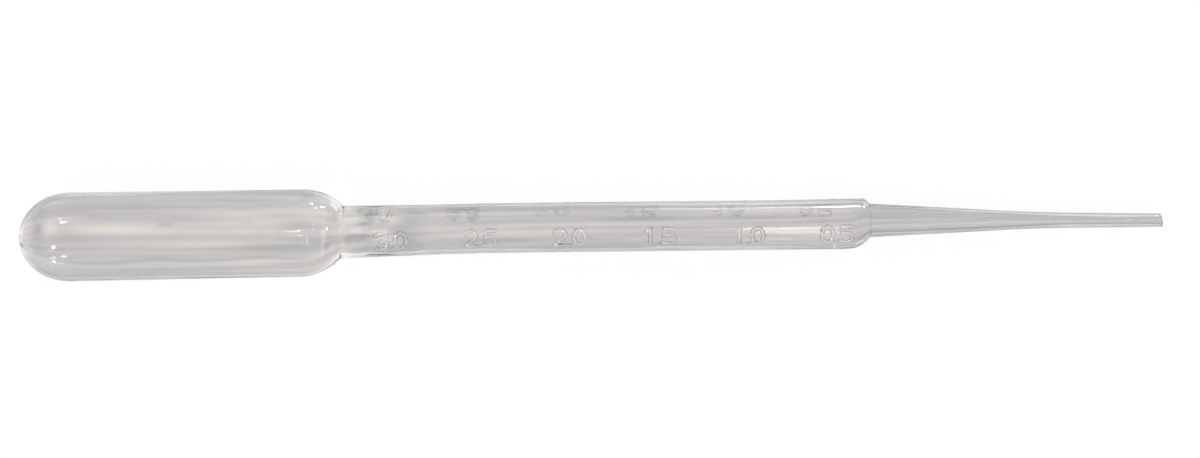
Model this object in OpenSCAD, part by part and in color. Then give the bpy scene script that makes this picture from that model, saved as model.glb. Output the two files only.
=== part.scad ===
// Graduated dropper pipette: squeeze bulb, stem and drawn tip, blow moulded in one piece.
// It lies as it comes to rest, on the bulb's shoulder and the end of the stem, with the tip
// towards +X, clear of the floor, and the upper raised graduations facing up and towards -Y.
// The origin is at the middle of the underside of its box.
// Every outline is a list of [radius, station] points. A station is a distance along the
// stem's axis, and is 0 at the closed end of the bulb.

/* [Bulb] */
// Length from the closed end to where the shoulder starts
bulb_l = 39.2; // [32:0.1:48]
// Diameter where the domed end meets the side
bulb_d = 12.4; // [10.3:0.1:15]
// Diameter where the shoulder starts
bulb_end_d = 12.2; // [10.1:0.1:14.8]
// Depth of the domed end
dome_l = 7; // [5.5:0.1:9]
// Wall thickness of the side
bulb_wall = 0.38; // [0.3:0.01:0.6]
// Wall thickness at the middle of the domed end
nose_wall = 1.15; // [0.5:0.05:1.6]

/* [Bulb shoulder] */
// Radius of the round at the bulb's side
shoulder_round = 7.6; // [5:0.1:9.2]
// Radius of the hollow corner at the stem
shoulder_fillet = 0.6; // [0.3:0.1:1.5]
// How far the cavity's shoulder starts before the outer one
shoulder_lead = 1; // [0:0.1:2]
// Radius of the cavity's round at the bulb's side
cavity_round = 6.6; // [4:0.1:8]
// Radius of the cavity's corner at the stem
cavity_fillet = 1.4; // [0.6:0.1:2.5]

/* [Stem] */
// Length from the start of the bulb's shoulder to the start of the tip's shoulder
stem_l = 76; // [60:0.5:92]
// Diameter at the bulb's shoulder
stem_root_d = 7.36; // [6.1:0.02:8.9]
// Diameter of the straight part
stem_d = 6.98; // [5.8:0.02:8.4]
// Diameter at the tip's shoulder
stem_end_d = 7.12; // [5.9:0.02:8.6]
// Length of the taper after the bulb's shoulder
root_taper_l = 13.6; // [8:0.1:17]
// Length of the taper before the tip's shoulder
end_taper_l = 11.2; // [6:0.1:14]
// Wall thickness
stem_wall = 0.52; // [0.35:0.01:0.8]

/* [Tip] */
// Sideways distance of the tip's root from the stem's axis
tip_offset = 0.5; // [0.2:0.05:0.7]
// Angle at which the tip leans back to the stem's axis
tip_lean = 0.9; // [0:0.05:1.2]
// Radius of the round of the tip's shoulder
tip_round = 4.3; // [3.5:0.1:5.2]
// Radius of the hollow corner at the tip's root
tip_fillet = 0.3; // [0.2:0.05:0.8]
// Diameter at the root
tip_root_d = 4.76; // [3.9:0.02:5.8]
// Length of the straight taper
taper_l = 18.6; // [14:0.1:23]
// Length over which the taper fades into the slim tube
blend_l = 9; // [5:0.1:12]
// Length of the slim tube
tube_l = 13.5; // [10:0.1:17]
// Diameter where the slim tube starts
tube_d = 2.2; // [1.8:0.02:2.7]
// Diameter at the mouth
mouth_d = 1.9; // [1.56:0.02:2.3]
// Diameter of the bore at the mouth
bore_d = 1.1; // [0.7:0.02:1.34]
// Wall thickness at the root
tip_wall = 0.42; // [0.3:0.01:0.6]
// Slant of the cut at the mouth
mouth_slant = 8; // [0:1:15]

/* [Graduations] */
// Number of raised bars in each of the two rows
bars = 6; // [1:1:6]
// Distance between bars
bar_pitch = 12.4; // [8:0.1:13.4]
// Distance of the first bar from the tip's shoulder
first_bar_l = 1.6; // [1:0.1:6]
// Width of a bar's crowned top, along the stem
bar_w = 0.4; // [0.3:0.05:0.6]
// Height of a bar above the stem
bar_h = 0.12; // [0.05:0.01:0.2]
// Angle that a bar spans round the stem
bar_span = 40; // [30:1:50]
// Angle from straight up, towards -Y, to the middle of the upper bars
bar_turn = 52; // [40:1:75]
// Angle from straight down, towards +Y, to the middle of the lower bars
far_bar_turn = 64; // [50:1:80]

/* [Hidden] */
$fn = 128;
arc_steps = 14;                        // straight pieces in a round
blend_steps = 6;                       // straight pieces in the tip's blend
spare = 1;                             // how far a cut runs past what it cuts
skin = 0.06;                           // least gap between the stem and the ring round it
plastic = [0.82, 0.82, 0.81, 0.6];

bulb_end_r = bulb_end_d / 2;
stem_end_r = stem_end_d / 2;
mouth_r = mouth_d / 2;
bore_r = bore_d / 2;
tip_shoulder_s = bulb_l + stem_l;

// Turn of a shoulder that falls by a step in an outward round and an inward fillet
function shoulder_turn(step, rounding, fillet) = acos(1 - step / (rounding + fillet));
function shoulder_length(step, rounding, fillet) =
    (rounding + fillet) * sin(shoulder_turn(step, rounding, fillet));

// Points of that shoulder, which starts at [r, s] and falls to the radius low_r
function shoulder(r, s, low_r, rounding, fillet) =
    let (turn = shoulder_turn(r - low_r, rounding, fillet),
         low_s = s + shoulder_length(r - low_r, rounding, fillet),
         angles = [for (i = [0 : arc_steps]) turn * i / arc_steps])
    concat(
        [for (a = angles) [r - rounding * (1 - cos(a)), s + rounding * sin(a)]],
        [for (i = [arc_steps - 1 : -1 : 0])
            [low_r + fillet * (1 - cos(angles[i])), low_s - fillet * sin(angles[i])]]);

// Points of a dome that ends at the radius r and the station s
function dome(r, s, depth) =
    [for (i = [0 : arc_steps])
        let (a = 90 * i / arc_steps) [r * sin(a), s - depth * cos(a)]];

// Lengths along the tip, from the start of its shoulder
tip_start_r = stem_end_r + tip_offset + skin;
tip_root_r = tip_root_d / 2;
tip_shoulder_l = shoulder_length(tip_start_r - tip_root_r, tip_round, tip_fillet);
blend_s = tip_shoulder_l + taper_l;
tube_s = blend_s + blend_l;
tip_l = tube_s + tube_l;
total_l = tip_shoulder_s + tip_l;

// The blend's slope goes evenly from that of the taper to that of the slim tube
tube_slope = (tube_d - mouth_d) / 2 / tube_l;
taper_slope = (tip_root_r - tube_d / 2 - tube_slope * blend_l / 2) / (taper_l + blend_l / 2);
function blend_r(u) =
    tip_root_r - taper_slope * (taper_l + u)
    + (taper_slope - tube_slope) * u * u / (2 * blend_l);

// Outside of the tip, about its own axis
tip_line = concat(
    shoulder(tip_start_r, 0, tip_root_r, tip_round, tip_fillet),
    [for (i = [0 : blend_steps])
        let (u = blend_l * i / blend_steps) [blend_r(u), blend_s + u]],
    [[mouth_r - tube_slope * spare, tip_l + spare]]);

// Inside of the tip: a shoulder, a long taper and the straight bore of the slim tube
cavity_start_r = stem_end_r - stem_wall + tip_offset + skin;
bore_root_r = tip_root_r - tip_wall;
bore_line = concat(
    shoulder(cavity_start_r, 0, bore_root_r, tip_round - stem_wall, tip_fillet + tip_wall),
    [[bore_r, tube_s], [bore_r, tip_l + spare]]);

// Outside of the stem, from the end of the bulb's shoulder
stem_root_r = stem_root_d / 2;
stem_root_s = bulb_l
    + shoulder_length(bulb_end_r - stem_root_r, shoulder_round, shoulder_fillet);
function stem_line(inset) = [
    [stem_root_r - inset, stem_root_s],
    [stem_d / 2 - inset, stem_root_s + root_taper_l],
    [stem_d / 2 - inset, tip_shoulder_s - end_taper_l],
    [stem_end_r - inset, tip_shoulder_s]];
function stem_r_at(s) = lookup(s, [for (p = stem_line(0)) [p[1], p[0]]]);

// Outside of the bulb and the stem, whose end runs on over the whole tip
bulb_line = concat(
    dome(bulb_d / 2, dome_l, dome_l),
    shoulder(bulb_end_r, bulb_l, stem_root_r, shoulder_round, shoulder_fillet));
outer_line = concat(
    bulb_line,
    stem_line(0),
    [[stem_end_r, total_l + spare]]);

// Inside of the bulb and the stem, in the same way
cavity_line = concat(
    dome(bulb_d / 2 - bulb_wall, dome_l, dome_l - nose_wall),
    shoulder(bulb_end_r - bulb_wall, bulb_l - shoulder_lead,
             stem_root_r - stem_wall, cavity_round, cavity_fillet),
    [for (i = [1 : 3]) stem_line(stem_wall)[i]],
    [[stem_end_r - stem_wall, total_l + spare]]);

// Rest: the bulb and the stem's end touch the floor. The floor is the steepest line from a point
// of the stem or the tip to the bulb, at the point where that line is least steep.
function steepest_from(p) =
    max([for (b = bulb_line) if (b[1] < p[1]) atan2(b[0] - p[0], p[1] - b[1])]);
edge_drop = tip_start_r - norm([stem_end_r, tip_offset]);
edge_s = tip_shoulder_s + sqrt(edge_drop * (2 * tip_round - edge_drop));
rest_points = concat(stem_line(0), [[stem_end_r, edge_s], [mouth_r, total_l]]);
rest_tilt = min([for (p = rest_points) steepest_from(p)]);
rest_h = max([for (b = bulb_line) b[0] * cos(rest_tilt) + b[1] * sin(rest_tilt)]);
low_x = min([for (b = bulb_line) b[1] * cos(rest_tilt) - b[0] * sin(rest_tilt)]);
high_x = total_l * cos(rest_tilt)
    + mouth_r * norm([sin(rest_tilt), tan(mouth_slant) * cos(rest_tilt)]);

// Lays a shape that stands along +Z down at rest. Its -X side comes to the top.
module lay_down() {
    translate([-(low_x + high_x) / 2, 0, rest_h])
        rotate([0, 90 + rest_tilt, 0])
            children();
}

// Puts a shape on the tip's own axis, with its origin at the start of the tip's shoulder
module on_tip_axis() {
    translate([0, tip_offset, tip_shoulder_s])
        rotate([tip_lean, 0, 0])
            children();
}

// Solid of revolution inside an outline that starts on the axis
module turned(line) {
    rotate_extrude()
        polygon(concat(line, [[0, line[len(line) - 1][1]]]));
}

// Ring that leaves only what lies inside a tip's outline
module ring_round(line) {
    far_r = bulb_d;
    end_s = line[len(line) - 1][1] + spare;
    rotate_extrude()
        polygon(concat(line, [[line[len(line) - 1][0], end_s], [far_r, end_s],
                              [far_r, line[0][1]]]));
}

// Body that follows one line to the tip's shoulder and another from there on
module drawn_body(body_line, end_line) {
    difference() {
        turned(body_line);
        on_tip_axis() ring_round(end_line);
    }
}

// Raised bar across the stem, at an angle from straight up, with a crowned top
module bar(s, turn) {
    top_r = stem_r_at(s) + bar_h;
    edge_r = top_r - bar_w / 4;
    foot_r = stem_r_at(s) - stem_wall / 2;
    foot_w = bar_w + 2 * (edge_r - foot_r);
    rotate([0, 0, 180 + turn - bar_span / 2])
        rotate_extrude(angle = bar_span)
            polygon([[foot_r, s - foot_w / 2], [edge_r, s - bar_w / 2], [top_r, s],
                     [edge_r, s + bar_w / 2], [foot_r, s + foot_w / 2]]);
}

// Slanted cut across the end of the slim tube
module mouth_cut() {
    size = 4 * mouth_d;
    on_tip_axis()
        translate([0, 0, tip_l])
            rotate([-mouth_slant, 0, 0])
                translate([-size / 2, -size / 2, 0])
                    cube([size, size, size]);
}

module pipette() {
    color(plastic)
        lay_down()
            difference() {
                union() {
                    drawn_body(outer_line, tip_line);
                    for (i = [0 : bars - 1], turn = [bar_turn, 180 + far_bar_turn])
                        bar(tip_shoulder_s - first_bar_l - i * bar_pitch, turn);
                }
                drawn_body(cavity_line, bore_line);
                mouth_cut();
            }
}

pipette();
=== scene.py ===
"""Looks of a blown plastic dropper pipette: one thin-walled body of milky plastic on a pale floor."""
from math import acos, cos, exp, pi, radians, sin, sqrt, tan
from typing import NamedTuple

import bpy
from bpy.props import FloatProperty, FloatVectorProperty, IntProperty, PointerProperty
from bpy.types import Operator, Panel, PropertyGroup
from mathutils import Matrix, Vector, noise


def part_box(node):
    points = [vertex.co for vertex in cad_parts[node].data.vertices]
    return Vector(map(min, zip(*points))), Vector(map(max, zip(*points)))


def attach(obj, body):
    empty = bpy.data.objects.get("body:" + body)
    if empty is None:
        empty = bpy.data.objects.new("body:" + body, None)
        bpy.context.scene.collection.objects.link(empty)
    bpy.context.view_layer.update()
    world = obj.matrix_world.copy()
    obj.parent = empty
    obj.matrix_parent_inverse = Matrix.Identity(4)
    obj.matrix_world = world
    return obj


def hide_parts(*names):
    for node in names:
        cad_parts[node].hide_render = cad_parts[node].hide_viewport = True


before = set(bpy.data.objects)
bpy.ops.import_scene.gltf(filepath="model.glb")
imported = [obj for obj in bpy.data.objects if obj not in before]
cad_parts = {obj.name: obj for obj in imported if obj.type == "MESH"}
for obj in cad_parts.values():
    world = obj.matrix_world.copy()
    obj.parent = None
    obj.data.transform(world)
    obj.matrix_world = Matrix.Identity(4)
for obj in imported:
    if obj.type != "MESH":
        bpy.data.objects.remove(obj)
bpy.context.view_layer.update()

bl_info = {
    "name": "Dropper pipette",
    "version": (1, 0, 0),
    "blender": (4, 5, 0),
    "location": "3D View > Sidebar > Pipette",
    "description": "Builds a blown plastic dropper pipette with raised numbers, and its stage",
    "category": "Object",
}

MM = 0.001
CAD_LOW, CAD_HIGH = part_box("pipette")


def length(name, mm, text):
    """A length that is shown and stored in metres"""
    return FloatProperty(name=name, description=text, default=mm * MM, min=0, precision=5, unit="LENGTH")


def position(name, mm, text):
    """A length that may be negative"""
    return FloatProperty(name=name, description=text, default=mm * MM, precision=5, unit="LENGTH")


def angle(name, degrees, text):
    """An angle that is stored in radians"""
    return FloatProperty(name=name, description=text, default=radians(degrees), unit="ROTATION")


def share(name, value, text):
    """A number from 0 to 1"""
    return FloatProperty(name=name, description=text, default=value, min=0, max=1, subtype="FACTOR")


def number(name, value, text, low=0):
    """A plain number"""
    return FloatProperty(name=name, description=text, default=value, min=low)


def whole(name, value, text, low, high):
    """A whole number"""
    return IntProperty(name=name, description=text, default=value, min=low, max=high)


def colour(name, value, text):
    """A plain colour"""
    return FloatVectorProperty(name=name, description=text, default=value, size=3,
                               min=0, max=1, subtype="COLOR")


# ---------------- sizes and finishes

class PipetteBulbSizes(PropertyGroup):
    """The squeeze bulb and its shoulder"""
    bulb_l: length("Length", 39.2, "From the closed end to where the shoulder starts")
    bulb_d: length("Diameter", 12.4, "Diameter where the domed end meets the side")
    end_d: length("End diameter", 12.2, "Diameter where the shoulder starts")
    dome_l: length("Dome depth", 7, "Depth of the domed end")
    wall: length("Wall", 0.38, "Thickness of the side")
    nose_wall: length("Nose wall", 0.42, "Thickness at the middle of the domed end")
    shoulder_round: length("Shoulder round", 7.6, "Radius of the round at the bulb's side")
    shoulder_fillet: length("Shoulder corner", 0.6, "Radius of the hollow corner at the stem")
    shoulder_lead: length("Cavity lead", 0.45, "How far the cavity's shoulder starts before the outer one")
    cavity_round: length("Cavity round", 7.3, "Radius of the cavity's round at the bulb's side")
    cavity_fillet: length("Cavity corner", 0.9, "Radius of the cavity's corner at the stem")
    skew: length("Shoulder skew", 0.4, "How much later the shoulder ends on one side than in the middle")


class PipetteStemSizes(PropertyGroup):
    """The graduated stem"""
    stem_l: length("Length", 76, "From the bulb's shoulder to the tip's shoulder")
    root_d: length("Root diameter", 7.36, "Diameter at the bulb's shoulder")
    stem_d: length("Diameter", 6.98, "Diameter of the straight part")
    end_d: length("End diameter", 7.12, "Diameter at the tip's shoulder")
    root_taper_l: length("Root taper", 13.6, "Length of the taper after the bulb's shoulder")
    end_taper_l: length("End taper", 11.2, "Length of the taper before the tip's shoulder")
    wall: length("Wall", 0.52, "Thickness of the wall")
    bow: length("Bow", 0.25, "Sideways bow of the stem between its ends")


class PipetteTipSizes(PropertyGroup):
    """The drawn tip"""
    offset: length("Offset", 0.5, "Sideways distance of the tip's root from the stem's axis")
    lean: angle("Lean", 0.9, "Angle at which the tip leans back to the stem's axis")
    round_r: length("Shoulder round", 4.3, "Radius of the round of the tip's shoulder")
    fillet: length("Shoulder corner", 0.3, "Radius of the hollow corner at the tip's root")
    root_d: length("Root diameter", 4.76, "Diameter at the root")
    taper_l: length("Taper length", 18.6, "Length of the straight taper")
    blend_l: length("Blend length", 9, "Length over which the taper fades into the slim tube")
    tube_l: length("Tube length", 13.5, "Length of the slim tube")
    tube_d: length("Tube diameter", 2.2, "Diameter where the slim tube starts")
    mouth_d: length("Mouth diameter", 1.9, "Diameter at the mouth")
    bore_d: length("Bore", 1.1, "Diameter of the bore at the mouth")
    wall: length("Wall", 0.42, "Thickness of the wall at the root")
    slant: angle("Mouth slant", 8, "Slant of the cut at the mouth")


class PipetteMarkSizes(PropertyGroup):
    """The raised numbers and bars on the stem"""
    count: whole("Marks", 6, "Marks in each of the two rows", 1, 6)
    pitch: length("Pitch", 12.4, "Distance between marks")
    first_l: length("First mark", 1.6, "Distance of the first bar from the tip's shoulder")
    raised: length("Height", 0.12, "Height of bars and numbers above the stem")
    bar_w: length("Bar width", 0.4, "Width of a bar's crowned top")
    bar_span: angle("Bar span", 40, "Angle that a bar spans round the stem")
    upper_turn: angle("Upper bars", 52, "Angle from straight up to the middle of the upper bars")
    lower_turn: angle("Lower bars", 64, "Angle from straight down to the middle of the lower bars")
    digit_h: length("Digit height", 2.3, "Height of a digit, round the stem")
    digit_w: length("Digit width", 1.75, "Width of a digit, along the stem")
    digit_gap: length("Digit gap", 0.45, "Gap between a digit and the point")
    stroke_w: length("Stroke", 0.27, "Width of a digit's stroke")
    digit_rise: angle("Digit rise", 27, "Angle round the stem from a bar's middle up to its digits")
    lower_rise: angle("Lower digit rise", 14, "The same for the lower row")
    digit_raised: length("Digit relief", 0.14, "Height of the digits above the stem")
    lower_shift: length("Lower shift", 2.3, "How much nearer the bulb the lower numbers stand")


class PipetteWallSizes(PropertyGroup):
    """How uneven the blown wall is"""
    streak_depth: length("Streaks", 0.06, "Depth of the lengthwise streaks inside the wall")
    ripple_depth: length("Ripples", 0.014, "Depth of the fine ripples on the outside")
    swirl_depth: length("Swirls", 0.16, "Depth of the folds inside the neck")
    dent_depth: length("Dents", 0.07, "Depth of the soft dents in the bulb")
    columns: whole("Columns", 128, "Faces round the outside, an even number", 24, 240)
    fine_step: length("Fine step", 0.085, "Length of a face where the marks are")


class PipettePlastic(PropertyGroup):
    """The milky plastic"""
    clear_tint: colour("Clear tint", (0.99, 0.962, 0.914), "Colour of the wall where it is clearest")
    milky_tint: colour("Milky tint", (0.22, 0.245, 0.33), "Colour of the wall where it is milkiest")
    clearness: share("Clearness", 0.95, "How much light goes through instead of being spread")
    gloss_roughness: share("Roughness", 0.045, "Roughness of the drawn stem and tip")
    dull_roughness: share("Bulb roughness", 0.065, "Roughness of the bulb")
    milkiness: share("Milkiness", 0.290, "How milky the plain wall is")
    streakiness: share("Streakiness", 0.42, "How strongly streaks and folds change the milkiness")
    # The rim colour is painted shade at the edges seen edge on: it stands in for the darker surroundings that
    # the edges refract and reflect, and partly for the longer path through the wall.
    rim_shade_colour: colour("Rim tint", (0.20, 0.205, 0.215), "Colour of the wall where it is seen edge on")
    rim_shade_share: share("Rim share", 0.85, "How much of the rim tint shows at the very edge")
    refraction: number("IOR", 1.51, "Index of refraction of the plastic", 1)
    shadow_light: share("Shadow light", 0.80, "How much lamp light each surface lets through")


class PipetteStage(PropertyGroup):
    """Floor, lights and camera"""
    floor_size: length("Floor size", 6000, "Side of the square floor")
    floor_colour: colour("Floor colour", (0.97, 0.97, 0.97), "Colour of the floor")
    sky_colour: colour("Room colour", (0.93, 0.96, 1.0), "Colour of the light of the room")
    sky_light: number("Room light", 0.78, "Strength of the light of the room")
    camera_height: length("Camera height", 400, "Height of the camera above the middle of the body")
    view_w: length("View width", 167.12, "Width that the camera sees at the middle of the body")
    camera_x: position("Camera X", 0.78, "Place of the camera along the body")
    camera_y: position("Camera Y", -0.13, "Place of the camera across the body")
    camera_turn: angle("Camera turn", -0.96, "Turn of the camera about the upright axis")


class PipetteSettings(PropertyGroup):
    """All sizes and finishes of the pipette"""
    bulb: PointerProperty(type=PipetteBulbSizes)
    stem: PointerProperty(type=PipetteStemSizes)
    tip: PointerProperty(type=PipetteTipSizes)
    marks: PointerProperty(type=PipetteMarkSizes)
    wall: PointerProperty(type=PipetteWallSizes)
    plastic: PointerProperty(type=PipettePlastic)
    stage: PointerProperty(type=PipetteStage)
    tilt: angle("Tilt at rest", 1.86509, "Angle at which the stem's axis falls towards the tip")
    axis_height: length("Axis height", 7.37446, "Height of the axis at the closed end")
    axis_start: length("Axis start", 79.97755, "Distance of the closed end from the origin")


# ---------------- outlines

SKIN = 0.06 * MM  # how far the tip's shoulder starts outside the stem
DOME_STEPS, INNER_DOME_STEPS = 30, 26
SHOULDER_STEPS, TIP_SHOULDER_STEPS, BLEND_STEPS = 16, 12, 6


def smooth_step(x, low, high):
    """0 below low, 1 above high, and an even curve between them"""
    t = min(max((x - low) / (high - low), 0), 1)
    return t * t * (3 - 2 * t)


def soft_min(a, b, k):
    """The smaller of two lengths, rounded over k where they meet"""
    d = max(k - abs(a - b), 0) / k
    return min(a, b) - d * d * k / 4


def band(s, start, full, fading, end):
    """0 outside start and end, 1 from full to fading, all four in millimetres"""
    return smooth_step(s, start * MM, full * MM) * (1 - smooth_step(s, fading * MM, end * MM))


def bell(x, middle, width):
    """1 in the middle, falling away evenly on both sides"""
    return exp(-((x - middle) / width) ** 2)


def turn_between(a, b):
    """The angle from b to a, from minus half a turn to half a turn"""
    return (a - b + pi) % (2 * pi) - pi


def along(points, s):
    """Radius at a station, from a list of (radius, station) points"""
    if s <= points[0][1]:
        return points[0][0]
    for (r0, s0), (r1, s1) in zip(points, points[1:]):
        if s <= s1:
            return r0 + (r1 - r0) * (s - s0) / (s1 - s0)
    return points[-1][0]


def shoulder(r, s, low_r, rounding, fillet, steps):
    """Points of a shoulder: an outward round, then an inward fillet"""
    turn = acos(1 - (r - low_r) / (rounding + fillet))
    low_s = s + (rounding + fillet) * sin(turn)
    turns = [turn * i / steps for i in range(steps + 1)]
    points = [(r - rounding * (1 - cos(a)), s + rounding * sin(a)) for a in turns]
    corner = max(3, steps // 3)
    for i in range(corner - 1, -1, -1):
        a = turn * i / corner
        points.append((low_r + fillet * (1 - cos(a)), low_s - fillet * sin(a)))
    return points


def dome(r, s, depth, steps):
    """Points of a domed end, without the pole"""
    return [(r * sin(pi / 2 * i / steps), s - depth * cos(pi / 2 * i / steps)) for i in range(1, steps + 1)]


class Outline:
    """Radii and stations of the outside and the inside of the body"""

    def __init__(self, p):
        b, m, t = p.bulb, p.stem, p.tip
        self.end_s = b.bulb_l + m.stem_l
        self.bulb_out = dome(b.bulb_d / 2, b.dome_l, b.dome_l, DOME_STEPS)
        self.bulb_in = dome(b.bulb_d / 2 - b.wall, b.dome_l, b.dome_l - b.nose_wall, INNER_DOME_STEPS)
        self.shoulder_out = shoulder(b.end_d / 2, b.bulb_l, m.root_d / 2,
                                     b.shoulder_round, b.shoulder_fillet, SHOULDER_STEPS)
        self.shoulder_in = shoulder(b.end_d / 2 - b.wall, b.bulb_l - b.shoulder_lead, m.root_d / 2 - m.wall,
                                    b.cavity_round, b.cavity_fillet, SHOULDER_STEPS)
        root_s = self.shoulder_out[-1][1]
        self.stem_out = [(m.root_d / 2, root_s), (m.stem_d / 2, root_s + m.root_taper_l),
                         (m.stem_d / 2, self.end_s - m.end_taper_l), (m.end_d / 2, self.end_s)]
        self.stem_in = [(self.shoulder_in[-1][0], self.shoulder_in[-1][1])]
        self.stem_in += [(r - m.wall, s) for r, s in self.stem_out[1:]]

        start_r = m.end_d / 2 + t.offset + SKIN
        self.tip_shoulder = shoulder(start_r, 0, t.root_d / 2, t.round_r, t.fillet, TIP_SHOULDER_STEPS)
        self.tip_shoulder_in = shoulder(start_r - m.wall, 0, t.root_d / 2 - t.wall,
                                        t.round_r - m.wall, t.fillet + t.wall, TIP_SHOULDER_STEPS)
        blend_u = self.tip_shoulder[-1][1] + t.taper_l
        tube_u = blend_u + t.blend_l
        self.tip_l = tube_u + t.tube_l
        tube_slope = (t.tube_d - t.mouth_d) / 2 / t.tube_l
        taper_fall = t.root_d / 2 - t.tube_d / 2 - tube_slope * t.blend_l / 2
        taper_slope = taper_fall / (t.taper_l + t.blend_l / 2)
        blend = []
        for i in range(BLEND_STEPS + 1):
            u = t.blend_l * i / BLEND_STEPS
            fall = taper_slope * (t.taper_l + u) - (taper_slope - tube_slope) * u * u / (2 * t.blend_l)
            blend.append((t.root_d / 2 - fall, blend_u + u))
        self.tip_out = self.tip_shoulder + blend + [(t.mouth_d / 2, self.tip_l)]
        self.tip_in = self.tip_shoulder_in + [(t.bore_d / 2, tube_u), (t.bore_d / 2, self.tip_l)]


# ---------------- raised marks

UPPER_SHIFT = 0.1 * MM  # how much nearer the tip the upper numbers stand than their bars
POINT_RISE, POINT_L = 0.05 * MM, 0.02 * MM  # height of a decimal point's foot, and length of its stroke
ROW_REACH = 1.2  # angle from a row's bars beyond which it has nothing
BAR_REACH, BAR_END = 0.04, 0.06 * MM  # angle of a bar past its span, and height at the end of the span
BAR_CLEAR = 0.12  # how much clearer a bar is than the wall
WORN_PATCH = 0.5 * MM  # size of the patches in which a number is worn or whole
WANDER, SHRINK = 0.12 * MM, 0.10 * MM  # how far a stroke wanders, and how much it shrinks where worn
# The clear middle line of a stroke is a painted highlight.
FLANK_W, GLINT_LINE_W = 0.07 * MM, 0.11 * MM  # width of a stroke's side, half width of its clear middle line
PLAIN_STEP = 0.8 * MM  # length of a face of the stem between the numbers
NEARLY = 1e-6  # stations this close count as one

# Strokes of the digits in a square of side 1.
DIGITS = {
    "0": [[(0.50, 1.0), (0.18, 0.88), (0.02, 0.5), (0.18, 0.12), (0.50, 0.0), (0.82, 0.12), (0.98, 0.5),
           (0.82, 0.88), (0.50, 1.0)]],
    "1": [[(0.22, 0.78), (0.56, 1.0), (0.56, 0.0)]],
    "2": [[(0.06, 0.76), (0.18, 0.94), (0.5, 1.0), (0.82, 0.92), (0.94, 0.72), (0.82, 0.52), (0.42, 0.28),
           (0.04, 0.0), (0.98, 0.0)]],
    "3": [[(0.06, 0.88), (0.28, 1.0), (0.6, 0.99), (0.86, 0.88), (0.86, 0.66), (0.66, 0.55), (0.38, 0.53)],
          [(0.66, 0.55), (0.92, 0.42), (0.96, 0.22), (0.78, 0.05), (0.48, 0.0), (0.2, 0.03), (0.03, 0.15)]],
    "5": [[(0.9, 1.0), (0.2, 1.0), (0.12, 0.56), (0.42, 0.64), (0.76, 0.6), (0.95, 0.42), (0.93, 0.18),
           (0.74, 0.03), (0.42, 0.0), (0.04, 0.12)]],
}


def number_strokes(text, marks):
    """Strokes of a number as pairs of points (along, up), in metres about the number's middle"""
    widths = {".": 0.0}
    total = sum(widths.get(c, marks.digit_w) for c in text) + marks.digit_gap * (len(text) - 1)
    x = -total / 2
    strokes = []
    for c in text:
        w = widths.get(c, marks.digit_w)
        if c == ".":
            y = -marks.digit_h / 2 + POINT_RISE
            strokes.append((x, y, x, y + POINT_L))
        else:
            for line in DIGITS[c]:
                spots = [(x + px * w, (py - 0.5) * marks.digit_h) for px, py in line]
                strokes += [(*a, *b) for a, b in zip(spots, spots[1:])]
        x += w + marks.digit_gap
    return strokes


def stroke_distance(x, y, strokes):
    """Distance of a point from the nearest stroke"""
    best = 1.0
    for x0, y0, x1, y1 in strokes:
        dx, dy = x1 - x0, y1 - y0
        t = min(max(((x - x0) * dx + (y - y0) * dy) / (dx * dx + dy * dy), 0), 1)
        best = min(best, (x - x0 - t * dx) ** 2 + (y - y0 - t * dy) ** 2)
    return sqrt(best)


class MarkRow(NamedTuple):
    """A row of marks: where its bars and numbers are, and how plainly the painted shade of the numbers'
    outlines shows
    """
    turn: float  # angle from straight up to the middle of the bars
    rise: float  # angle from the bars up to the numbers
    shift: float  # distance from the bars to the numbers, along the stem
    outline_shade: float  # strength of the outlines
    soft: float  # width of the outlines


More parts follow.
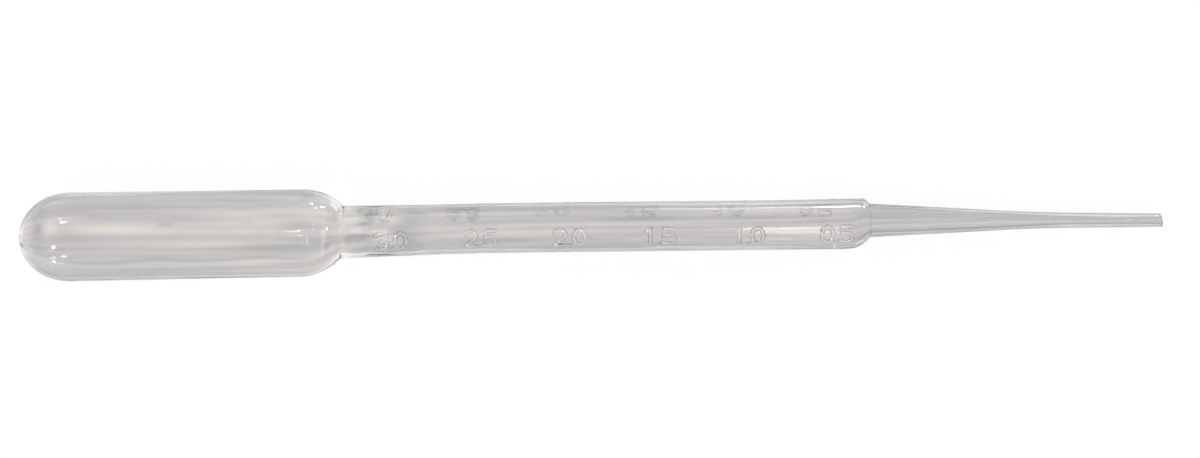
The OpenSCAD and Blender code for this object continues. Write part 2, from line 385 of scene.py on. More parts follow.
class Marks:
    """Heights of the bars and the numbers over the stem"""

    def __init__(self, p, outline):
        m = self.m = p.marks
        self.stations = [outline.end_s - m.first_l - i * m.pitch for i in range(m.count)]
        self.strokes = [number_strokes(f"{(i + 1) / 2:.1f}", m) for i in range(m.count)]
        self.reach = m.digit_w + m.digit_gap + 2 * m.stroke_w
        self.rows = [MarkRow(m.upper_turn, m.digit_rise, UPPER_SHIFT, 1.0, 0.09 * MM),
                     MarkRow(pi + m.lower_turn, m.lower_rise, -m.lower_shift, 1.2, 0.13 * MM)]
        self.r = p.stem.stem_d / 2

    def number_turns(self):
        """Angles from straight up to the middle of each row of numbers"""
        return [row.turn - row.rise for row in self.rows]

    def step_at(self, s, fine):
        """Length of the next face of the stem: fine at the upper numbers, less so at the lower ones"""
        ahead = PLAIN_STEP
        for station in self.stations:
            lower = station - self.m.lower_shift - self.reach
            upper = station + UPPER_SHIFT - self.reach
            if upper <= s + NEARLY < station + UPPER_SHIFT + self.reach:
                return fine
            if lower <= s + NEARLY < upper:
                return min(2 * fine, max(upper - s, fine / 2))
            if s < lower:
                ahead = min(ahead, lower - s)
        return ahead

    def bar_height(self, far, off):
        """Height of a bar at a distance from its middle line and an angle from its middle"""
        m = self.m
        if far >= m.bar_w or off >= m.bar_span / 2 + BAR_REACH:
            return 0.0
        crown = m.raised - far / 2
        flank = m.raised - m.bar_w / 4 - (far - m.bar_w / 2)
        end = (m.bar_span / 2 - off) * self.r + BAR_END
        return max(min(crown, flank, end), 0.0)

    def digit_relief(self, x, y, spot, strokes, row):
        """Height of worn strokes at a point, their painted outline shade as milkiness, and their painted
        middle highlight as clearness
        """
        m = self.m
        worn = noise.noise(spot)
        d = stroke_distance(x + WANDER * noise.noise(spot + Vector((7, 0, 0))), y, strokes)
        d += SHRINK * worn
        half = m.stroke_w / 2 + FLANK_W
        height = m.digit_raised * (0.8 - 0.8 * worn) * (1 - (d / half) ** 2)
        # Painted shade: a milkier outline round each stroke stands in for the dark edges that its sides
        # refract. Painted highlight: a clearer line down its middle stands in for the glints on its crown.
        outline = row.outline_shade * (0.55 - 0.6 * worn) * bell(d, half, row.soft)
        return height, outline, 0.5 * bell(d, 0, GLINT_LINE_W)

    def relief(self, s, turn):
        """Height of the marks at a station and an angle from straight up, and their milkiness, with the
        painted shade and highlights of the numbers
        """
        m = self.m
        high = milk = 0.0
        spot = Vector((s, turn * self.r, 0.0)) / WORN_PATCH
        for station, strokes in zip(self.stations, self.strokes):
            if abs(s - station) > m.lower_shift + self.reach:
                continue
            for row in self.rows:
                off = turn_between(turn, row.turn)
                if abs(off) > ROW_REACH:
                    continue
                bar = self.bar_height(abs(s - station), abs(off))
                high, milk = max(high, bar), milk - BAR_CLEAR * bar / m.raised
                x, y = s - station - row.shift, -(off + row.rise) * self.r
                if abs(y) < m.digit_h / 2 + 2 * m.stroke_w and abs(x) < self.reach:
                    height, outline, middle = self.digit_relief(x, y, spot, strokes, row)
                    high = max(high, height)
                    milk += outline
                    milk -= middle
        return high, milk


# ---------------- body mesh

ANGLE_STEPS = 1440  # steps in which the spacing of the columns is worked out
BELOW_SHARE = 0.4  # how close the bulb's columns stand below, against 1 above
LOWER_SHARE, PLAIN_SHARE = 0.6, 0.3  # how close they stand at the lower numbers and between the rows
NUMBER_SPAN = radians(25)  # half of the angle over which columns crowd at a row of numbers


def spread_angles(turns, weights, count):
    """Angles round the body, closer together where the weights are larger"""
    total, run, angles = sum(weights), 0.0, []
    for a, w in zip(turns, weights):
        while len(angles) < count and run + w > total * len(angles) / count:
            angles.append(a + 2 * pi / ANGLE_STEPS * (total * len(angles) / count - run) / w)
        run += w
    return angles


def column_angles(count, numbers):
    """Two sets of angles round the body: closer above for the bulb, and crowded at the rows of numbers"""
    turns = [2 * pi * i / ANGLE_STEPS for i in range(ANGLE_STEPS)]
    above = [1.0 if cos(a) > -0.1 else BELOW_SHARE for a in turns]
    close = []
    for a in turns:
        near = [abs(turn_between(a, c)) < NUMBER_SPAN for c in numbers]
        close.append(1.0 if near[0] else LOWER_SHARE if near[1] else PLAIN_SHARE)
    return [spread_angles(turns, weights, count) for weights in (above, close)]


def ray_to_circle(turn, start_y, circle_y, r):
    """Distance along a ray at an angle from straight up, from the point start_y, to a circle"""
    side = (start_y - circle_y) * -sin(turn)
    return -side + sqrt(max(side * side - (start_y - circle_y) ** 2 + r * r, 0))


# Layers of noise in the wall: offset, turns round the body, waves per metre along it.
RIPPLES = (3.1, 3.0, 130)
BROAD_STREAKS, FINE_STREAKS = (7.7, 1.6, 22), (1.3, 4.5, 60)
BROAD_HAZE, FINE_HAZE = (11.3, 3.2, 25), (4.7, 8.0, 40)
NECK_WARP, HAZE_WARP = (5.0, 1.2, 180), (2.0, 1.4, 160)
# Folds in the neck: turns round the body and waves per metre.
NECK_FOLDS, HAZE_FOLDS = (2.2, 330), (1.8, 240)


def wall_noise(layer, turn, s):
    """Noise of a layer that goes round the body without a seam"""
    offset, turns, per_m = layer
    return noise.noise(Vector((offset + turns * cos(turn), turns * sin(turn), per_m * s)))


def folded_noise(folds, turn, s, warp):
    """Noise that a warp bends into folds"""
    turns, per_m = folds
    return noise.noise(Vector((turns * cos(turn) + warp, turns * sin(turn), per_m * s + warp)))


# Lengthwise flow lines: turn and half width in degrees, start and end in mm, milkiness (below 0 is clearer).
FLOW_LINES = (
    # on the bulb
    (-52, 9, 8, 38, 0.15), (-35, 3, 10, 38, -0.25), (-25, 2.3, 9, 39, 0.42), (-9, 9, 8, 38, -0.40),
    (2, 2, 12, 39, 0.16), (8, 2.5, 14, 38, -0.18), (17, 4, 10, 39, 0.08), (45, 1.6, 8, 37, -0.50),
    (56, 4, 8, 38, 0.12), (80, 7, 6, 40, -0.30), (160, 3, 7, 39, 0.30), (203, 3, 7, 39, 0.30),
    # on the stem
    (-64, 5, 56, 115, -0.35), (-49, 3, 58, 100, 0.50), (-19, 5, 79, 112, 0.32), (-8, 3, 66, 84, -0.20),
    (33, 6, 55, 101, 0.32), (78, 9, 54, 116, 0.35), (-79, 8, 60, 116, 0.30), (200, 5, 60, 110, 0.25),
    (-66, 6, 52, 78, -0.40),
    # on the tip
    (-34, 9, 116, 136, 0.05), (-66, 16, 118, 160, -0.60), (42, 16, 116, 146, 0.35), (85, 18, 126, 160, 0.5),
)
# Spots and folds, and painted light at the neck's corner: station in mm, turn in degrees, half length in mm,
# half width in degrees, milkiness.
FOLDS_AND_PAINTED_LIGHT = (
    # spots on the bulb
    (20.9, -14.5, 0.6, 3.5, 0.75), (32.3, -14.5, 0.6, 3, 0.45), (5.2, -13, 0.9, 9, -1.00),
    (3.5, -13, 0.5, 6, 0.60), (3.6, -43, 0.7, 7, 0.40),
    # at the bulb's shoulder; the clear ring at 44.9 mm is painted light over the shade of the neck's corner
    (40.0, -59, 1.0, 8, 0.50), (43.8, -32, 0.6, 8, 0.55), (42.9, 25, 0.25, 9, 0.70),
    (42.5, 12, 0.3, 26, -0.60), (44.9, 0, 0.3, 70, -0.55),
    # in the neck
    (47.8, -18, 1.2, 5, 0.80), (49.8, -20, 0.7, 11, -0.65), (46.6, -4, 1.0, 6, -0.55),
    (51.5, -26, 0.6, 8, -0.45), (47.2, -56, 0.5, 12, 0.60), (51.5, -42, 0.6, 7, 0.55),
    # The clear spots at 44.4 mm on both sides are painted light over the shade of the neck's corner.
    (50.0, -74, 4.5, 15, -1.20), (48.4, 64, 2.8, 13, -0.60), (44.4, 80, 1.0, 25, -1.30),
    (44.4, -80, 1.0, 25, -1.30), (48.4, 12, 1.2, 6, 0.40),
)
FOLD_REACH = 3  # half lengths beyond which a fold has no effect
# The wavy line on the bulb: turn, sway and half width in degrees, start and wave length in mm, milkiness.
WAVY_LINE = (35, 1.6, 2.2, 9.2, 14, 0.65)
# Soft dents in the bulb: station in mm, turn in degrees, size in mm.
DENTS = ((20.9, -13, 1.5), (32.3, -12, 1.2), (27.0, 196, 2.2))

# Faces along each stretch of the body.
BULB_ROWS, INNER_BULB_ROWS, INNER_STEM_ROWS = 34, 28, 84
TIP_ROWS, INNER_TIP_ROWS = 44, 40
TIP_ROOT_STEP, TIP_ROOT_ROWS = 0.1 * MM, 12  # fine rows where the tip's shoulder starts
MOUTH_ROUND = 0.1 * MM  # round of the mouth's outer edge
TIP_SEAM_R = 0.25 * MM  # length over which stem and tip melt into each other


class Body:
    """Collects the rings of the body and makes its mesh"""

    def __init__(self, p):
        self.p = p
        self.line = Outline(p)
        self.marks = Marks(p, self.line)
        self.even, self.crowded = column_angles(p.wall.columns, self.marks.number_turns())
        self.points, self.rings = [], []
        self.haze, self.edge, self.blown = [], [], []
        self.tilt_sin, self.tilt_cos = sin(p.tilt), cos(p.tilt)

    def place(self, up, y, s):
        """A point of the body as it lies at rest"""
        x = up * self.tilt_sin + s * self.tilt_cos - self.p.axis_start
        z = up * self.tilt_cos - s * self.tilt_sin + self.p.axis_height
        return Vector((min(max(x, CAD_LOW.x), CAD_HIGH.x), y, z))

    def bow_at(self, s):
        """Sideways shift of the bowed stem"""
        rise = smooth_step(s, 38 * MM, 68 * MM)
        fall = 1 - smooth_step(s, 62 * MM, self.line.end_s)
        return self.p.stem.bow * rise * fall

    def skew_at(self, s):
        """How much of the shoulder's skew a station has"""
        bulb_l = self.p.bulb.bulb_l
        rise = smooth_step(s, bulb_l - 3 * MM, bulb_l + 5 * MM)
        return rise * (1 - smooth_step(s, bulb_l + 6 * MM, bulb_l + 11 * MM))

    def unevenness(self, s, turn, inside):
        """How far the wall is moved towards the axis"""
        w = self.p.wall
        dent = 0.0
        if s < self.p.bulb.bulb_l:
            for station, dent_turn, size in DENTS:
                around = turn_between(turn, radians(dent_turn)) * self.p.bulb.bulb_d / 2
                dent += exp(-((s - station * MM) ** 2 + around ** 2) / (size * MM) ** 2)
        move = w.dent_depth * dent
        if not inside:
            ripple = 0.5 + 0.5 * wall_noise(RIPPLES, turn, s)
            return move + w.ripple_depth * max(ripple, 0)
        fade = 1 - smooth_step(s, self.line.end_s, self.line.end_s + 20 * MM)
        streaks = wall_noise(BROAD_STREAKS, turn, s) + 0.6 * wall_noise(FINE_STREAKS, turn, s)
        move += w.streak_depth * streaks * (0.25 + 0.75 * fade)
        neck = band(s, 39, 45, 50, 60)
        if neck:
            warp = 1.4 * wall_noise(NECK_WARP, turn, s)
            move += w.swirl_depth * neck * folded_noise(NECK_FOLDS, turn, s, warp)
        return move

    def flow_at(self, s):
        """Flow lines, folds and painted light that touch a station: turn, half width and milkiness there"""
        found = []
        for turn, width, start, end, milk in FLOW_LINES:
            ends = band(s, start - 2, start + 3, end - 3, end + 2)
            if ends:
                ends *= 0.75 + 1.1 * noise.noise(Vector((turn, width, 110 * s)))
                found.append((radians(turn), radians(width), milk * ends))
        for station, turn, reach, width, milk in FOLDS_AND_PAINTED_LIGHT:
            far = (s / MM - station) / reach
            if abs(far) < FOLD_REACH:
                found.append((radians(turn), radians(width), milk * exp(-far * far)))
        ends = band(s, 3, 8, 38, 42)
        if ends:
            turn, sway, width, start, wave_l, milk = WAVY_LINE
            wave = radians(turn + sway * sin(2 * pi * (s / MM - start) / wave_l))
            found.append((wave, radians(width), milk * ends))
        return found

    def haze_and_light_at(self, s, turn, flow):
        """How milky the wall is, from 0 to 1: long soft streaks, flow lines, folds in the neck, with painted
        light that makes the nose and the neck's corner clearer
        """
        end_s = self.line.end_s
        haze = 0.35 * wall_noise(BROAD_HAZE, turn, s) + 0.50 * wall_noise(FINE_HAZE, turn, s)
        haze += 0.12 * smooth_step(s, end_s - 1 * MM, end_s + 3 * MM)
        haze += 0.04 * (1 - smooth_step(s, 38 * MM, 46 * MM))
        for where, width, milk in flow:
            haze += milk * bell(turn_between(turn, where), 0, width)
        neck = band(s, 42, 46, 52, 60)
        if neck:
            warp = 1.3 * wall_noise(HAZE_WARP, turn, s)
            haze += 0.8 * neck * folded_noise(HAZE_FOLDS, turn, s, warp)
        # Painted light at the nose: the wall is made much clearer over the first 1.5 mm of the closed end,
        # standing in for the light that the thick end gathers; a little milkier about 2.6 mm in.
        painted_nose_light = 0.08 * bell(s, 2.6 * MM, 1.1 * MM) - 0.8 * (1 - smooth_step(s, 0.3 * MM, 1.5 * MM))
        return self.p.plastic.milkiness + self.p.plastic.streakiness * (haze + painted_nose_light)

    def rim_shade_at(self, s):
        """How much sooner the painted rim shade darkens the wall towards its edges: later at the bulb's ends,
        sooner on the tip
        """
        tip = s - self.line.end_s
        edge = -0.40 * (1 - smooth_step(s, 0.5 * MM, 3 * MM)) - 0.07
        edge += 0.10 * smooth_step(s, 46 * MM, 50 * MM) - 0.35 * bell(s, 43.5 * MM, 2.2 * MM)
        return edge + 0.10 * smooth_step(tip, 2 * MM, 6 * MM) + 0.08 * smooth_step(tip, 20 * MM, 30 * MM)

    def blown_at(self, s):
        """1 on the blown bulb, 0 on the drawn stem"""
        return 1 - smooth_step(s, 43 * MM, 49 * MM)

    def tip_y(self, u):
        """Sideways place of the tip's axis at a distance from the end of the stem"""
        return self.p.tip.offset - u * sin(self.p.tip.lean)

    def add_point(self, point, haze=0.3, edge=-0.3, blown=1.0):
        """A point with its milkiness and painted light and shade, from 0 to 1, the painted rim shade of its
        edge and its dullness
        """
        self.points.append(point)
        self.haze.append(min(max(haze, 0), 1))
        self.edge.append(edge)
        self.blown.append(blown)
        return len(self.points) - 1

    def add_ring(self, r, s, inside, tip_r=None, start_y=0.0, crowd=0.0, shear=0.0):
        """A ring of points: r is the stem's or the bulb's radius, tip_r the tip's"""
        p = self.p
        tip_y, skew = self.tip_y(s - self.line.end_s), self.skew_at(s)
        ring, flow, edge, blown = [], self.flow_at(s), self.rim_shade_at(s), self.blown_at(s)
        step = 2 if inside else 1
        for even, crowded in zip(self.even[::step], self.crowded[::step]):
            turn = even + (crowded - even) * crowd
            reach = ray_to_circle(turn, start_y, 0, r) if r else 1.0
            if tip_r:
                to_tip = ray_to_circle(turn, start_y, tip_y, tip_r)
                reach = soft_min(reach, to_tip, TIP_SEAM_R) if r else to_tip
            reach -= self.unevenness(s, turn, inside)
            high, milk = self.marks.relief(s, turn) if not inside and crowd > 0.5 else (0, 0)
            reach += high
            up, y = reach * cos(turn), start_y - reach * sin(turn)
            along_s = s + skew * p.bulb.skew * y / (p.bulb.bulb_d / 2)
            if shear:
                along_s -= shear * tan(p.tip.slant) * (y - tip_y)
            ring.append(self.add_point(self.place(up, y + self.bow_at(s), along_s),
                                       self.haze_and_light_at(s, turn, flow) + milk, edge, blown))
        self.rings.append(ring)

    def tip_rings(self, stations, outside):
        """Rings of the tip, from the tip's shoulder on"""
        p, line = self.p, self.line
        stem_r = p.stem.end_d / 2 - (0 if outside else p.stem.wall)
        points = line.tip_out if outside else line.tip_in
        for u in stations:
            start_y = self.tip_y(u) * smooth_step(u, 0.2 * MM, 2.6 * MM)
            shear = smooth_step(u, line.tip_l - 3 * MM, line.tip_l)
            crowd = 1 - smooth_step(u, 0.3 * MM, 4 * MM)
            self.add_ring(stem_r if u < 6 * MM else 0, line.end_s + u, not outside, along(points, u), start_y,
                          crowd if outside else 0.0, shear)

    def outer_rings(self):
        """Rings of the outside, from the closed end to just before the mouth"""
        b, line = self.p.bulb, self.line
        for r, s in line.bulb_out:
            self.add_ring(r, s, False)
        side = [(b.bulb_d / 2, b.dome_l), (b.end_d / 2, b.bulb_l)]
        for i in range(1, BULB_ROWS):
            s = b.dome_l + (b.bulb_l - b.dome_l) * i / BULB_ROWS
            self.add_ring(along(side, s), s, False)
        for r, s in line.shoulder_out:
            self.add_ring(r, s, False, crowd=smooth_step(s, b.bulb_l, line.shoulder_out[-1][1]))
        s = line.shoulder_out[-1][1]
        while True:
            s += self.marks.step_at(s, self.p.wall.fine_step)
            if s > line.end_s - 0.05 * MM:
                break
            self.add_ring(along(line.stem_out, s), s, False, crowd=1.0)
        root_u = line.tip_shoulder[-1][1]
        steps = [TIP_ROOT_STEP * i for i in range(TIP_ROOT_ROWS)]
        steps += [u for _, u in line.tip_shoulder if u > TIP_ROOT_STEP * (TIP_ROOT_ROWS - 0.5)]
        steps += [root_u + (line.tip_l - MOUTH_ROUND - root_u) * i / TIP_ROWS for i in range(1, TIP_ROWS + 1)]
        self.tip_rings(steps, True)

    def mouth_rings(self):
        """Rings of the slanted mouth, from its outer edge to the bore"""
        t, tip_l = self.p.tip, self.line.tip_l
        for r, u in ((t.mouth_d / 2 - 0.03 * MM, tip_l - 0.03 * MM), (t.mouth_d / 2 - MOUTH_ROUND, tip_l),
                     (t.bore_d / 2 + 0.08 * MM, tip_l), (t.bore_d / 2 + 0.02 * MM, tip_l - 0.03 * MM)):
            self.add_ring(0, self.line.end_s + u, False, r, self.tip_y(u), 0.0, 1.0)

    def inner_rings(self):
        """Rings of the cavity, from just inside the mouth back to the closed end"""
        b, line = self.p.bulb, self.line
        steps = [u for _, u in line.tip_shoulder_in]
        root_u = steps[-1]
        steps += [root_u + (line.tip_l - 0.12 * MM - root_u) * i / INNER_TIP_ROWS
                  for i in range(1, INNER_TIP_ROWS + 1)]
        self.tip_rings(steps[::-1], False)
        start = line.stem_in[0][1]
        for i in range(INNER_STEM_ROWS, 0, -1):
            s = start + (line.end_s - start) * i / (INNER_STEM_ROWS + 1)
            self.add_ring(along(line.stem_in, s), s, True)
        for r, s in line.shoulder_in[::-1]:
            self.add_ring(r, s, True)
        end = line.shoulder_in[0][1]
        side = [(b.bulb_d / 2 - b.wall, b.dome_l), (b.end_d / 2 - b.wall, end)]
        for i in range(INNER_BULB_ROWS - 1, 0, -1):
            s = b.dome_l + (end - b.dome_l) * i / INNER_BULB_ROWS
            self.add_ring(along(side, s), s, True)
        for r, s in line.bulb_in[::-1]:
            self.add_ring(r, s, True)

    def make_faces(self, outer_pole, inner_pole):
        """Faces between the rings, also where twice as many columns meet half of them, and round the poles"""
        faces = []
        for ring, pole, way in ((self.rings[0], outer_pole, 1), (self.rings[-1], inner_pole, -1)):
            for a, b in zip(ring, ring[1:] + ring[:1]):
                faces.append((pole, b, a)[::way])
        for low, high in zip(self.rings, self.rings[1:]):
            n = len(low)
            if len(high) == n:
                faces += [(low[j], low[(j + 1) % n], high[(j + 1) % n], high[j]) for j in range(n)]
                continue
            for j, (a, b) in enumerate(zip(high, high[1:] + high[:1])):
                odd = low[2 * j + 1]
                faces += [(low[2 * j], odd, a), (odd, low[(2 * j + 2) % n], b), (odd, b, a)]
        return faces

    def build(self):
        """Points and faces, from the outer pole to the mouth and back inside to the inner pole"""
        outer_pole = self.add_point(self.place(0, 0, 0))
        self.outer_rings()
        self.mouth_rings()
        self.inner_rings()
        inner_pole = self.add_point(self.place(0, 0, self.p.bulb.nose_wall))
        return self.points, self.make_faces(outer_pole, inner_pole)


def new_mesh(name, points, faces, smooth=True):
    """A mesh object from points and faces"""
    mesh = bpy.data.meshes.new(name)
    mesh.from_pydata(points, [], faces)
    mesh.validate()
    mesh.update()
    if smooth:
        mesh.shade_smooth()
    thing = bpy.data.objects.new(name, mesh)
    bpy.context.scene.collection.objects.link(thing)
    return thing


# ---------------- materials

FINE_STREAKS_SHARE = 0.05  # how much the fine streaks add to the milkiness
HAZE_GAIN = 0.95  # how much of the body's own milkiness shows
# Painted shade at the edges: the rim colour takes over as the wall turns edge on to the camera.
RIM_SHADE_START, RIM_SHADE_FULL = 0.42, 0.84  # from 0, facing, to 1, edge on: where the rim tint starts and is full
GRAIN_STRENGTH, GRAIN_DEPTH = 0.05, 0.05 * MM
SHADOW_TINT = (0.97, 0.97, 0.965)  # colour of the light that goes through the wall into the shadow
FLOOR_WHITENESS = 0.8  # how much of the floor is seen as plain white; the rest shows the shadow
MIX_FACTOR, MIX_A, MIX_B, MIX_RESULT = 0, 6, 7, 2  # sockets of a node that mixes colours


class Nodes:
    """Short calls for building a node tree"""

    def __init__(self, tree):
        self.tree = tree
        tree.nodes.clear()

    def add(self, kind, x, y, values=None, **settings):
        """A node with settings and, for its sockets, values or the (node, socket) pairs that feed them"""
        node = self.tree.nodes.new(kind)
        node.location = (x, y)
        for key, value in settings.items():
            setattr(node, key, value)
        for key, value in (values or {}).items():
            if isinstance(value, tuple) and isinstance(value[0], bpy.types.Node):
                self.tree.links.new(value[0].outputs[value[1]], node.inputs[key])
            else:
                node.inputs[key].default_value = value
        return node


def streak_group():
    """The node group that gives a drawn plastic wall its lengthwise streaks and its fine grain"""
    name = "Drawn plastic streaks"
    if name in bpy.data.node_groups:
        return bpy.data.node_groups[name]
    tree = bpy.data.node_groups.new(name, "ShaderNodeTree")
    for label, default in (("Streak length", 0.02), ("Streak width", 0.0016), ("Grain size", 0.0006)):
        socket = tree.interface.new_socket(label, in_out="INPUT", socket_type="NodeSocketFloat")
        socket.default_value = default
    for label in ("Streaks", "Fine height"):
        tree.interface.new_socket(label, in_out="OUTPUT", socket_type="NodeSocketFloat")
    g = Nodes(tree)
    come = g.add("NodeGroupInput", -900, 0)
    place = g.add("ShaderNodeTexCoord", -900, 300)
    width = (come, "Streak width")
    sizes = g.add("ShaderNodeCombineXYZ", -700, 0, {"X": (come, "Streak length"), "Y": width, "Z": width})
    stretch = g.add("ShaderNodeVectorMath", -500, 200, {0: (place, "Object"), 1: (sizes, "Vector")},
                    operation="DIVIDE")
    streaks = g.add("ShaderNodeTexNoise", -280, 200,
                    {"Vector": (stretch, "Vector"), "Scale": 1.0, "Detail": 2.5, "Roughness": 0.5})
    spread = g.add("ShaderNodeMapRange", 0, 200,
                   {"Value": (streaks, "Fac"), "From Min": 0.3, "From Max": 0.7})
    invert = g.add("ShaderNodeMath", -700, -250, {0: 1.0, 1: (come, "Grain size")}, operation="DIVIDE")
    shrink = g.add("ShaderNodeVectorMath", -500, -200, {0: (place, "Object"), "Scale": (invert, "Value")},
                   operation="SCALE")
    grain = g.add("ShaderNodeTexNoise", -280, -200,
                  {"Vector": (shrink, "Vector"), "Scale": 1.0, "Detail": 1.5, "Roughness": 0.5})
    g.add("NodeGroupOutput", 700, 0, {"Streaks": (spread, "Result"), "Fine height": (grain, "Fac")})
    return tree


def milky_plastic(plastic):
    """Translucent plastic: milky streaks, edges darkened by painted shade, a duller bulb and a fine surface
    grain
    """
    mat = bpy.data.materials.new("milky_plastic")
    mat.use_nodes = True
    n = Nodes(mat.node_tree)
    streaks = n.add("ShaderNodeGroup", -500, 0, node_tree=streak_group())
    # The haze attribute carries the wall's milkiness together with the painted light and shade of the nose,
    # the neck's corner and the numbers.
    haze, edge, blown = [n.add("ShaderNodeAttribute", x, y, attribute_name=name)
                         for x, y, name in ((-800, 350, "haze"), (-320, 700, "edge"), (-500, -100, "blown"))]
    fine = n.add("ShaderNodeMath", -500, 200, {0: (streaks, "Streaks"), 1: FINE_STREAKS_SHARE},
                 operation="MULTIPLY")
    milk = n.add("ShaderNodeMath", -320, 300, {0: (haze, "Fac"), 1: HAZE_GAIN, 2: (fine, "Value")},
                 operation="MULTIPLY_ADD", use_clamp=True)
    tint = n.add("ShaderNodeMix", -120, 300, {
        MIX_FACTOR: (milk, "Value"),
        MIX_A: (*plastic.clear_tint, 1),
        MIX_B: (*plastic.milky_tint, 1),
    }, data_type="RGBA")
    # Painted shade: Layer Weight darkens the colour towards the edges, sooner or later as the edge attribute
    # says.
    facing = n.add("ShaderNodeLayerWeight", -120, 520)
    sooner = n.add("ShaderNodeMath", -60, 660, {0: (facing, "Facing"), 1: (edge, "Fac")}, operation="ADD")
    rim = n.add("ShaderNodeMapRange", 80, 560, {
        "Value": (sooner, "Value"),
        "From Min": RIM_SHADE_START,
        "From Max": RIM_SHADE_FULL,
        "To Max": plastic.rim_shade_share,
    }, interpolation_type="SMOOTHSTEP")
    rim_shaded = n.add("ShaderNodeMix", 280, 400, {
        MIX_FACTOR: (rim, "Result"),
        MIX_A: (tint, MIX_RESULT),
        MIX_B: (*plastic.rim_shade_colour, 1),
    }, data_type="RGBA")
    dull = n.add("ShaderNodeMapRange", -200, -50, {
        "Value": (blown, "Fac"),
        "To Min": plastic.gloss_roughness,
        "To Max": plastic.dull_roughness,
    })
    bump = n.add("ShaderNodeBump", -200, -300, {
        "Strength": GRAIN_STRENGTH,
        "Distance": GRAIN_DEPTH,
        "Height": (streaks, "Fine height"),
    })
    shader = n.add("ShaderNodeBsdfPrincipled", 480, 0, {
        "Base Color": (rim_shaded, MIX_RESULT),
        "Roughness": (dull, "Result"),
        "Normal": (bump, "Normal"),
        "Metallic": 0.0,
        "IOR": plastic.refraction,
        "Transmission Weight": plastic.clearness,
    })
    clear = n.add("ShaderNodeBsdfTransparent", 300, -350, {"Color": (*SHADOW_TINT, 1)})
    ray = n.add("ShaderNodeLightPath", 300, 350)
    through = n.add("ShaderNodeMath", 520, 250, {0: (ray, "Is Shadow Ray"), 1: plastic.shadow_light},
                    operation="MULTIPLY")
    mixed = n.add("ShaderNodeMixShader", 700, 0,
                  {"Fac": (through, "Value"), 1: (shader, "BSDF"), 2: (clear, "BSDF")})
    n.add("ShaderNodeOutputMaterial", 900, 0, {"Surface": (mixed, "Shader")})
    return mat


def seen_directly(n, x, y):
    """A socket that is 1 where camera, mirror or glass sees a thing, and 0 where it only gives light"""
    ray = n.add("ShaderNodeLightPath", x, y)
    two = n.add("ShaderNodeMath", x + 250, y, {0: (ray, "Is Camera Ray"), 1: (ray, "Is Glossy Ray")},
                operation="ADD")
    three = n.add("ShaderNodeMath", x + 450, y, {0: (two, "Value"), 1: (ray, "Is Transmission Ray")},
                  operation="ADD", use_clamp=True)
    return three, "Value"


def pale_floor(stage):
    """Matt pale floor that glass and camera see as white, with the shadow of what stands on it"""
    mat = bpy.data.materials.new("pale_floor")
    mat.use_nodes = True
    n = Nodes(mat.node_tree)
    matt = n.add("ShaderNodeBsdfDiffuse", 200, 0, {"Color": (*stage.floor_colour, 1)})
    white = n.add("ShaderNodeEmission", 200, -200, {"Strength": 1.0})
    part = n.add("ShaderNodeMath", 350, 300, {0: seen_directly(n, -300, 300), 1: FLOOR_WHITENESS},
                 operation="MULTIPLY")
    mixed = n.add("ShaderNodeMixShader", 550, 0,
                  {"Fac": (part, "Value"), 1: (matt, "BSDF"), 2: (white, "Emission")})
    n.add("ShaderNodeOutputMaterial", 800, 0, {"Surface": (mixed, "Shader")})
    return mat


# ---------------- operators

FLOOR_GAP = 0.05 * MM  # how far the floor lies below the body
SENSOR_W = 36  # width of the camera's sensor, in millimetres
WARM, WARMER, COOL, BLUE = (1.0, 0.98, 0.95), (1.0, 0.97, 0.92), (0.90, 0.95, 1.0), (0.60, 0.76, 1.0)
# Lamps: name, place in metres, width and height, watts, colour. Square ones aim at the middle of the body,
# where they make small bright spots, and long ones aim straight across it.
LAMPS = (
    ("lamp_left", (-0.162, 0.30, 0.40), (0.03, 0.03), 0.32, WARM),
    ("lamp_front", (0.083, -0.20, 0.41), (0.022, 0.24), 0.065, WARMER),
    ("lamp_window", (0.103, 0.60, 0.03), (0.018, 0.06), 0.16, COOL),
    ("lamp_window_side", (0.067, 0.60, 0.03), (0.054, 0.06), 0.06, COOL),
    ("lamp_window_far", (0.308, 0.60, 0.03), (0.06, 0.09), 1.1, COOL),
    ("lamp_room", (0.0, 0.90, 0.06), (1.6, 0.16), 0.26, BLUE),
    ("lamp_top", (-0.0415, 0.046, 0.50), (0.011, 0.011), 0.06, WARM),
    ("lamp_end", (0.216, 0.06, 0.47), (0.02, 0.02), 0.03, WARM),
    ("lamp_right", (0.406, 0.052, 0.29), (0.045, 0.045), 0.26, WARM),
    ("lamp_low_left", (-0.262, -0.175, 0.35), (0.045, 0.045), 0.30, WARM),
    ("lamp_low_front", (-0.151, -0.372, 0.32), (0.02, 0.02), 0.09, WARM),
    ("lamp_floor_left", (-0.26, -0.37, 0.15), (0.036, 0.036), 0.13, WARM),
)


class PIPETTE_OT_body(Operator):
    """Build the blown body with its raised numbers"""
    bl_idname = "pipette.body"
    bl_label = "Pipette body"

    def execute(self, context):
        p = context.scene.pipette
        shape = Body(p)
        points, faces = shape.build()
        body = new_mesh("pipette_body", points, faces)
        if len(body.data.polygons) != len(faces):
            raise RuntimeError("The body's mesh lost faces: a size is too small for the wall")
        for name, values in (("haze", shape.haze), ("edge", shape.edge), ("blown", shape.blown)):
            body.data.attributes.new(name, "FLOAT", "POINT").data.foreach_set("value", values)
        body.data.materials.append(milky_plastic(p.plastic))
        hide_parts("pipette")
        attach(body, "root")
        return {"FINISHED"}


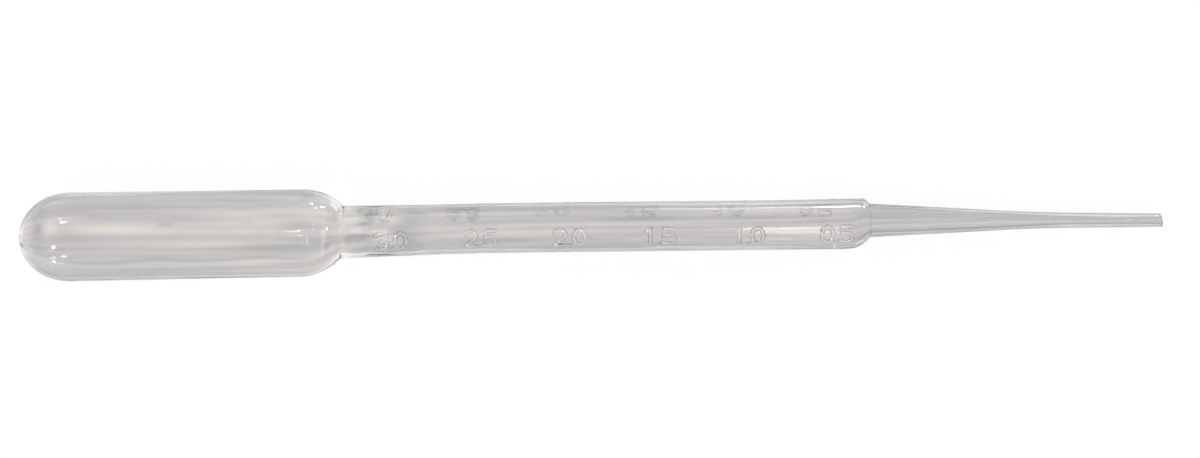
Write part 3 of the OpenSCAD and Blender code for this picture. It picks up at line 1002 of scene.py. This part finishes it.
class PIPETTE_OT_stage(Operator):
    """Build the floor, the soft lights and the camera"""
    bl_idname = "pipette.stage"
    bl_label = "Stage"

    def add_lamp(self, name, place, size, power, tint):
        """A soft lamp, out of the camera's sight"""
        data = bpy.data.lights.new(name, "AREA")
        data.shape = "RECTANGLE"
        data.size, data.size_y = size
        data.energy = power
        data.color = tint
        lamp = bpy.data.objects.new(name, data)
        lamp.location = place
        target = (0, 0, 0) if data.size == data.size_y else (place[0], 0, 0)
        lamp.rotation_euler = (Vector(place) - Vector(target)).to_track_quat("Z", "Y").to_euler()
        lamp.visible_camera = False
        bpy.context.scene.collection.objects.link(lamp)

    def add_floor(self, stage):
        """The pale floor"""
        half = stage.floor_size / 2
        z = CAD_LOW.z - FLOOR_GAP
        floor = new_mesh("floor", [(-half, -half, z), (half, -half, z), (half, half, z), (-half, half, z)],
                         [(0, 1, 2, 3)], smooth=False)
        floor.data.materials.append(pale_floor(stage))

    def add_room(self, stage):
        """The light of the room, seen directly as white"""
        world = bpy.data.worlds.new("room")
        world.use_nodes = True
        n = Nodes(world.node_tree)
        sky_values = {"Strength": stage.sky_light, "Color": (*stage.sky_colour, 1)}
        sky = n.add("ShaderNodeBackground", 0, 0, sky_values)
        white = n.add("ShaderNodeBackground", 0, -200, {"Strength": 1.0, "Color": (1, 1, 1, 1)})
        mixed = n.add("ShaderNodeMixShader", 200, 0, {
            "Fac": seen_directly(n, -600, 300),
            1: (sky, "Background"),
            2: (white, "Background"),
        })
        n.add("ShaderNodeOutputWorld", 400, 0, {"Surface": (mixed, "Shader")})
        bpy.context.scene.world = world

    def add_camera(self, stage):
        """A camera that looks straight down"""
        lens = bpy.data.cameras.new("camera")
        lens.sensor_width = SENSOR_W
        lens.lens = SENSOR_W * stage.camera_height / stage.view_w
        lens.clip_start, lens.clip_end = 0.01, 20
        camera = bpy.data.objects.new("camera", lens)
        middle = (CAD_LOW.z + CAD_HIGH.z) / 2
        camera.location = (stage.camera_x, stage.camera_y, middle + stage.camera_height)
        camera.rotation_euler = (0, 0, stage.camera_turn)
        bpy.context.scene.collection.objects.link(camera)
        bpy.context.scene.camera = camera

    def execute(self, context):
        stage = context.scene.pipette.stage
        self.add_floor(stage)
        self.add_room(stage)
        for lamp in LAMPS:
            self.add_lamp(*lamp)
        context.scene.view_settings.view_transform = "Standard"
        self.add_camera(stage)
        return {"FINISHED"}


class PIPETTE_PT_panel(Panel):
    """Sizes, finishes and build steps of the pipette"""
    bl_idname = "PIPETTE_PT_panel"
    bl_label = "Dropper pipette"
    bl_space_type = "VIEW_3D"
    bl_region_type = "UI"
    bl_category = "Pipette"

    def draw(self, context):
        p = context.scene.pipette
        self.layout.operator("pipette.body")
        self.layout.operator("pipette.stage")
        for name in PipetteSettings.__annotations__:
            value = getattr(p, name)
            if not isinstance(value, PropertyGroup):
                self.layout.prop(p, name)
                continue
            box = self.layout.box()
            box.label(text=name.capitalize())
            for part in type(value).__annotations__:
                box.prop(value, part)


CLASSES = (PipetteBulbSizes, PipetteStemSizes, PipetteTipSizes, PipetteMarkSizes, PipetteWallSizes,
           PipettePlastic, PipetteStage, PipetteSettings,
           PIPETTE_OT_body, PIPETTE_OT_stage, PIPETTE_PT_panel)


def register():
    """Makes the settings, the operators and the panel known"""
    for cls in CLASSES:
        bpy.utils.register_class(cls)
    bpy.types.Scene.pipette = PointerProperty(type=PipetteSettings)


def unregister():
    """Takes them away again"""
    del bpy.types.Scene.pipette
    for cls in reversed(CLASSES):
        bpy.utils.unregister_class(cls)


def main():
    """Builds the whole scene"""
    register()
    bpy.ops.pipette.body()
    bpy.ops.pipette.stage()


if __name__ == "__main__":
    main()
